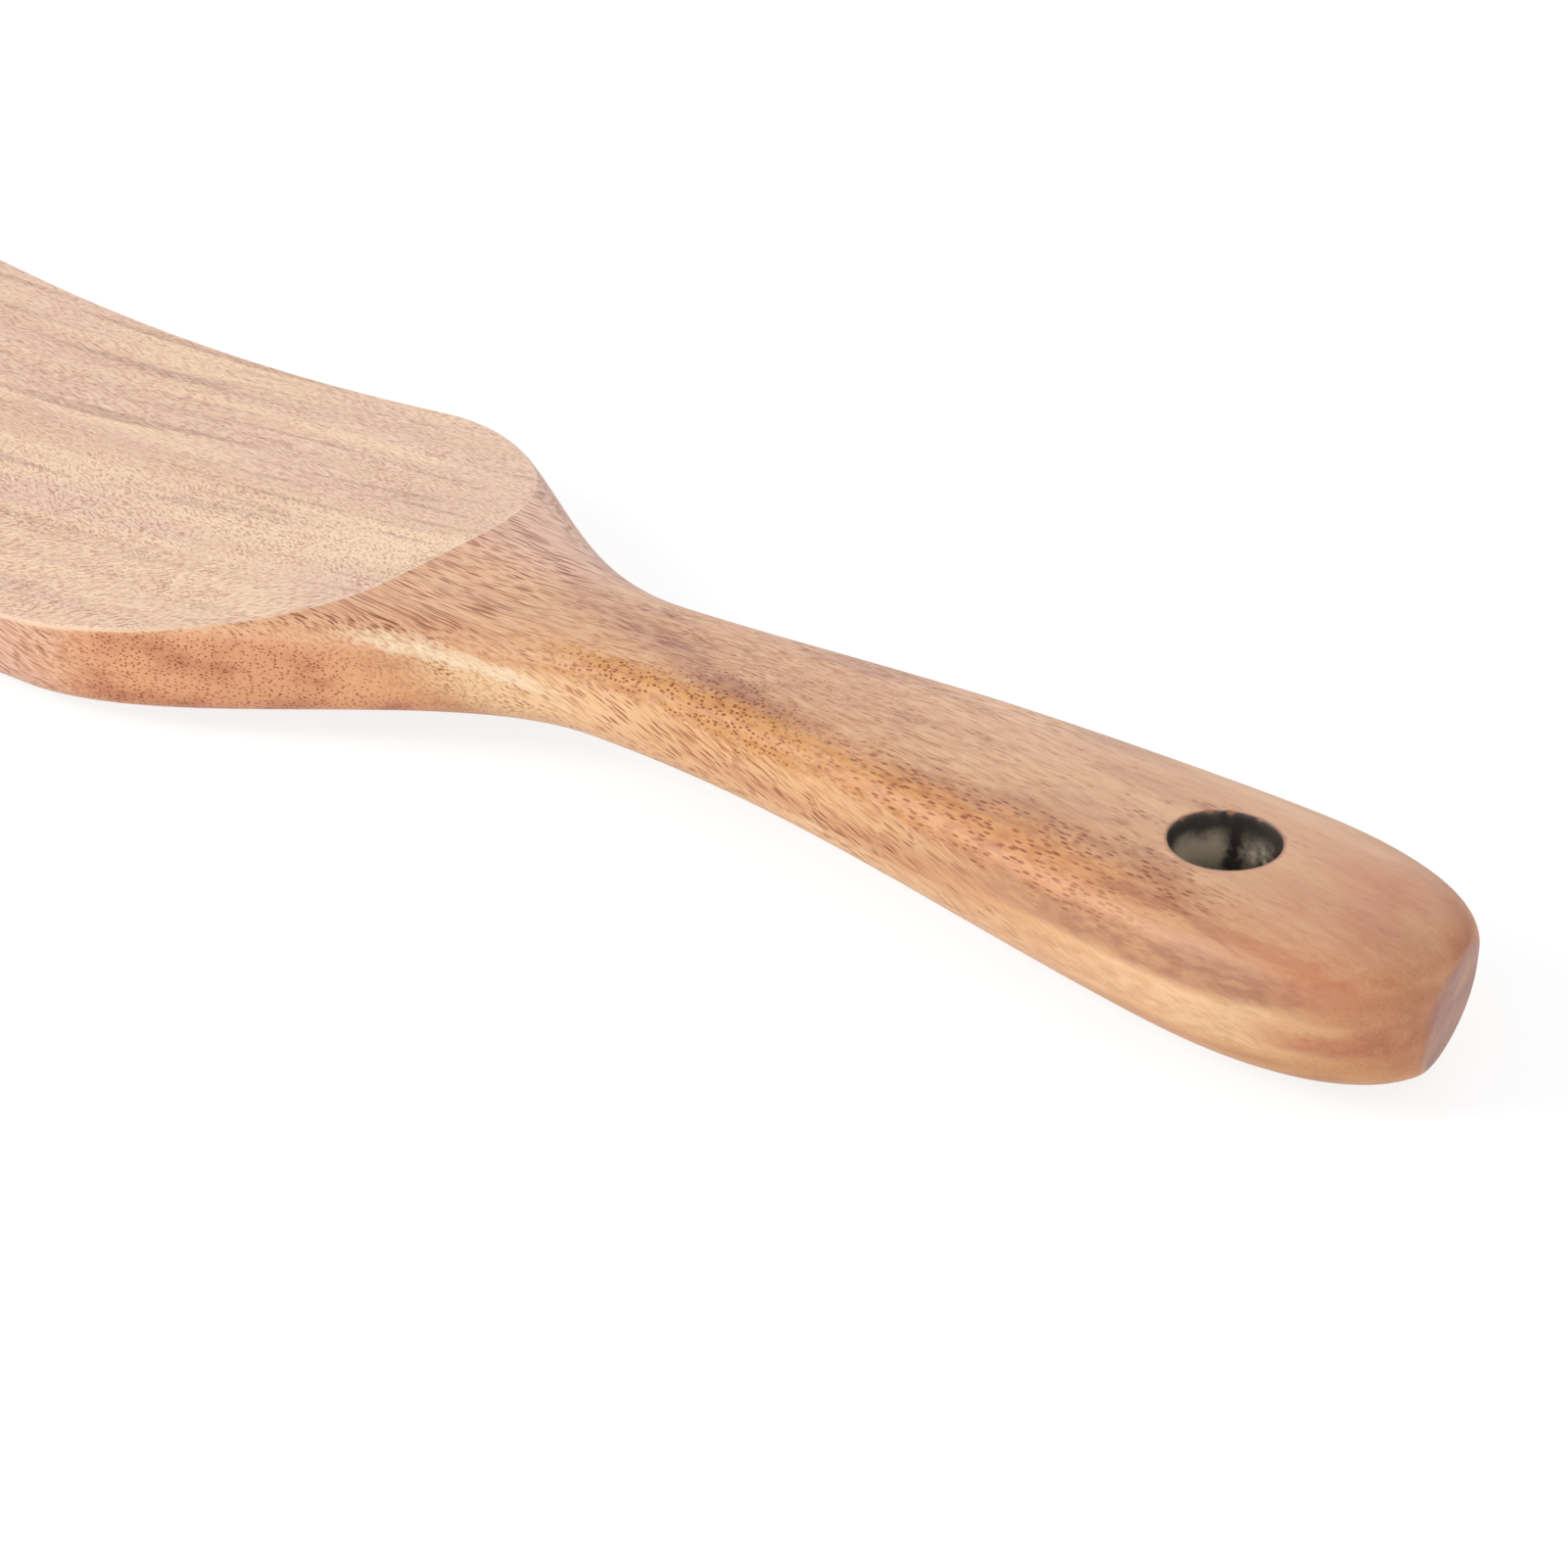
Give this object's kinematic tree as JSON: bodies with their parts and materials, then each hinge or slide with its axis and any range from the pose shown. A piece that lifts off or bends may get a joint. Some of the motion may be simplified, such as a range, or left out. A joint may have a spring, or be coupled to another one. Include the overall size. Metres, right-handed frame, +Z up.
{
  "type": "wooden spatula",
  "caption": "Wooden kitchen spatula with a flared blade sanded to a thin tip, a slim neck and an oval handle with a hanging hole.",
  "frame": {"origin": "middle of the footprint, on the surface that the spatula lies on", "axes": "+X along the handle towards its hanging end, +Y across the blade, +Z up out of the blade's face"},
  "size_m": [0.24, 0.0746, 0.0166],
  "materials": {
    "oiled_hardwood": "oiled, satin, with open pores along the grain"
  },
  "bodies": {
    "root": {"spatula_body": "oiled_hardwood"}
  },
  "joints": []
}
